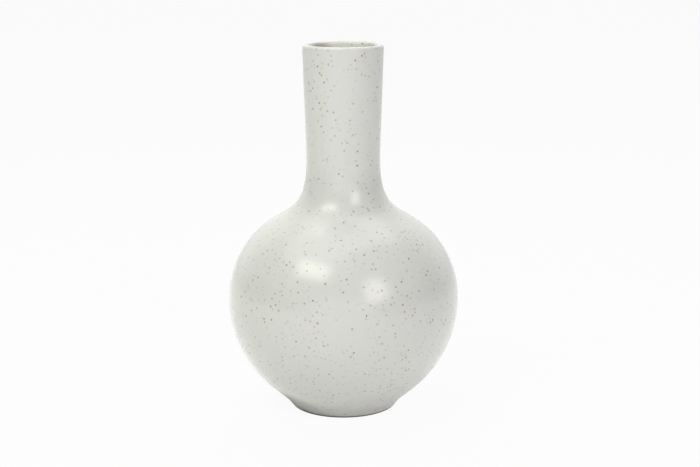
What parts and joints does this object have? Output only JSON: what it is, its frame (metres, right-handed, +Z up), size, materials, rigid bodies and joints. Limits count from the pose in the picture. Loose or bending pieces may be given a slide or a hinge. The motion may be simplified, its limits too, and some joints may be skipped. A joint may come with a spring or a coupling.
{
  "type": "globe vase",
  "caption": "Ceramic bottle vase with a globe-shaped belly, a tall neck, a rounded lip and a short turned foot, in a satin speckled glaze, for holding cut stems in water.",
  "frame": {"origin": "on the vase's axis, in the plane that the foot stands on", "axes": "+Z up along the vase's axis, +X to the right and +Y away from the viewer in the picture's view"},
  "size_m": [0.2092, 0.2092, 0.33],
  "materials": {
    "glaze": "satin pale grey-green white glaze with fine brown iron specks",
    "clay": "bare fired brown stoneware"
  },
  "bodies": {
    "root": {"foot_ring": "clay", "lower_bowl": "clay", "upper_bowl": "clay", "neck": "clay", "outer_glaze": "glaze", "inner_glaze": "glaze", "base_glaze": "glaze"}
  },
  "joints": []
}
